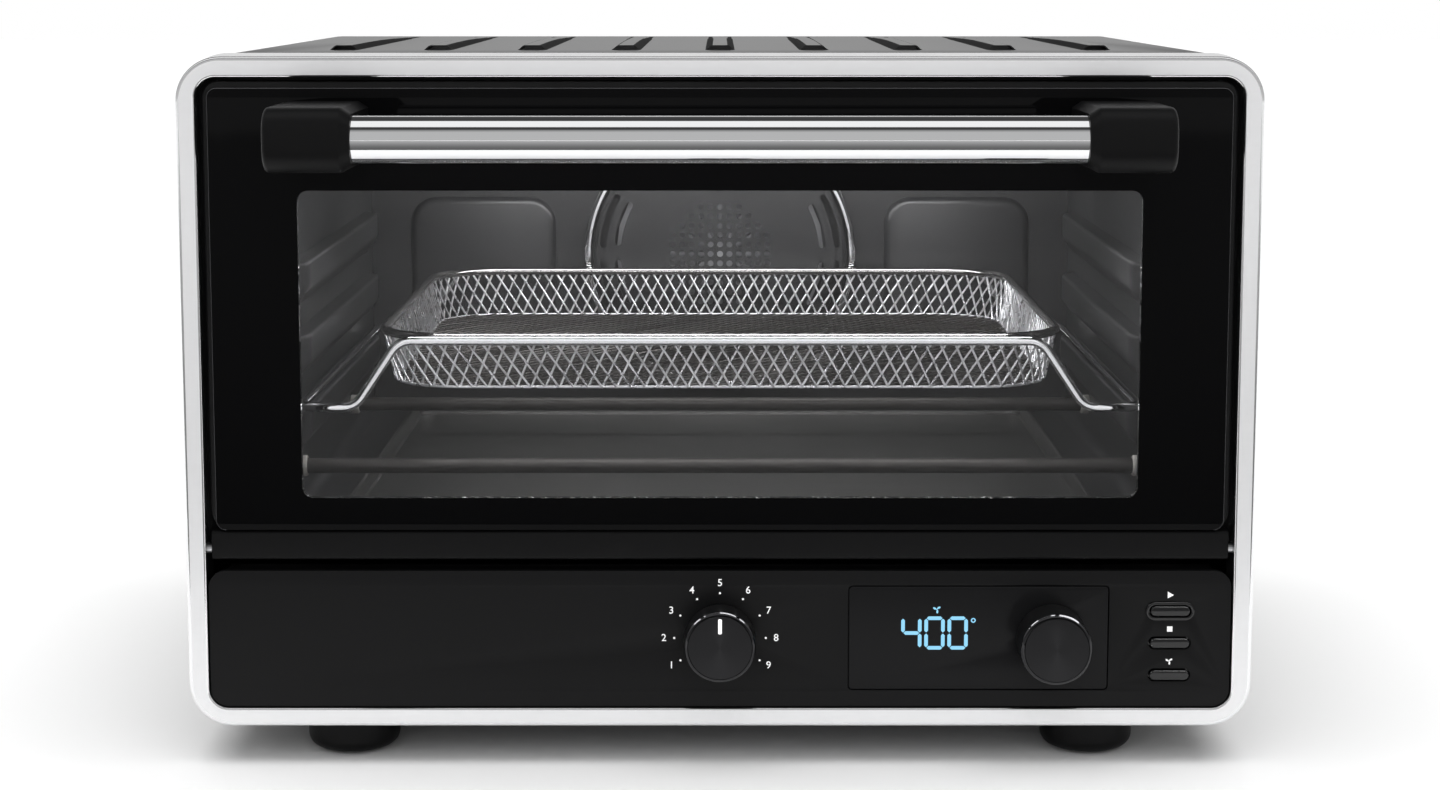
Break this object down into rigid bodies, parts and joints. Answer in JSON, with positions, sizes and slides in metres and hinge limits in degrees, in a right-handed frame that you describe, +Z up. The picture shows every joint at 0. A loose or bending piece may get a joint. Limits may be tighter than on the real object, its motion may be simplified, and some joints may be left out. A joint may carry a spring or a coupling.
{
  "type": "toaster oven",
  "caption": "Countertop convection toaster oven with a drop-down glass door, tubular handle, air-fry basket, control knobs, push buttons and a display window.",
  "frame": {"origin": "on the table under the middle of the whole oven's box", "axes": "+X to the right seen from the front, +Y from the front to the back, +Z up"},
  "size_m": [0.434, 0.4144, 0.2906],
  "materials": {
    "trim": "satin, brushed lengthwise, with polished bevels",
    "chrome": "mirror-polished tube and wire",
    "steel": "plain bright steel",
    "basket_mesh": "stainless wire mesh",
    "black_paint": "fine-textured matte black powder coat",
    "black_plastic": "satin black, fine spark texture",
    "knob_plastic": "satin black with a knurled side",
    "gloss_black": "gloss black",
    "glass": "clear tempered pane with a gloss black printed border",
    "enamel": "dark grey non-stick enamel, semi-gloss",
    "aluminium": "plain aluminised steel",
    "spun_metal": "dark anodised, spun in circles",
    "rubber": "soft black rubber",
    "board": "green solder mask"
  },
  "bodies": {
    "root": {"front_trim_frame": "trim", "wrap_cover": "black_paint", "base_pan": "black_paint", "back_panel": "black_paint", "rear_fan_housing": "black_paint", "cord_gland": "black_plastic", "cavity_liner": "enamel", "cavity_back_wall": "enamel", "fan_cover": "enamel", "fan_cover_ring": "chrome", "fan_motor": "steel", "heater_top_front": "steel", "heater_top_rear": "steel", "heater_bottom_front": "steel", "heater_bottom_rear": "steel", "control_fascia": "black_plastic", "display_window": "gloss_black", "display_module": "gloss_black", "control_board": "board", "power_board": "board", "function_switch": "black_plastic", "temperature_encoder": "aluminium", "start_button_ring": "gloss_black", "foot_front_left": "black_plastic", "foot_pad_front_left": "rubber", "foot_front_right": "black_plastic", "foot_pad_front_right": "rubber", "foot_rear_left": "black_plastic", "foot_pad_rear_left": "rubber", "foot_rear_right": "black_plastic", "foot_pad_rear_right": "rubber"},
    "door": {"door_glass": "glass", "door_frame": "black_paint", "door_rail": "black_plastic", "hinge_pin_left": "steel", "hinge_pin_right": "steel", "handle_bar": "chrome", "handle_end_left": "black_plastic", "handle_end_right": "black_plastic", "handle_screw_left": "steel", "handle_screw_right": "steel"},
    "function_dial": {"function_knob": "knob_plastic", "function_knob_cap": "spun_metal", "function_shaft": "steel"},
    "temperature_dial": {"temperature_knob": "knob_plastic", "temperature_knob_cap": "spun_metal", "temperature_shaft": "steel"},
    "start_key": {"start_button": "gloss_black"},
    "cancel_key": {"cancel_button": "gloss_black"},
    "convection_key": {"convection_button": "gloss_black"},
    "fan_rotor": {"convection_fan": "aluminium", "fan_shaft": "steel", "cooling_fan": "aluminium"},
    "basket": {"fry_basket": "basket_mesh", "basket_support": "chrome"},
    "tray": {"crumb_tray": "aluminium"}
  },
  "joints": [
    {"name": "door_hinge", "type": "hinge", "parent": "root", "child": "door", "pos_m": [0, -0.14375, 0.0892], "axis": [1, 0, 0], "range_deg": [0, 90]},
    {"name": "function_turn", "type": "hinge", "parent": "root", "child": "function_dial", "pos_m": [0, -0.14975, 0.053], "axis": [0, 1, 0], "range_deg": [-120, 120]},
    {"name": "temperature_turn", "type": "hinge", "parent": "root", "child": "temperature_dial", "pos_m": [0.1344, -0.14975, 0.053], "axis": [0, 1, 0], "continuous": true},
    {"name": "start_press", "type": "slide", "parent": "root", "child": "start_key", "axis": [0, 1, 0], "range_m": [0, 0.0008], "stiffness_N_per_m": 900, "springref_m": -0.0004},
    {"name": "cancel_press", "type": "slide", "parent": "root", "child": "cancel_key", "axis": [0, 1, 0], "range_m": [0, 0.0008], "stiffness_N_per_m": 900, "springref_m": -0.0004},
    {"name": "convection_press", "type": "slide", "parent": "root", "child": "convection_key", "axis": [0, 1, 0], "range_m": [0, 0.0008], "stiffness_N_per_m": 900, "springref_m": -0.0004},
    {"name": "fan_spin", "type": "hinge", "parent": "root", "child": "fan_rotor", "pos_m": [0, 0.16025, 0.1785], "axis": [0, 1, 0], "continuous": true},
    {"name": "basket_slide", "type": "slide", "parent": "root", "child": "basket", "axis": [0, -1, 0], "range_m": [0, 0.08]},
    {"name": "tray_slide", "type": "slide", "parent": "root", "child": "tray", "axis": [0, -1, 0], "range_m": [0, 0.0195]}
  ],
  "couplings": [
    {"joint": "basket_slide", "follows": "door_hinge", "m_per_rad": 0.05},
    {"joint": "tray_slide", "follows": "door_hinge", "m_per_rad": 0.012}
  ]
}
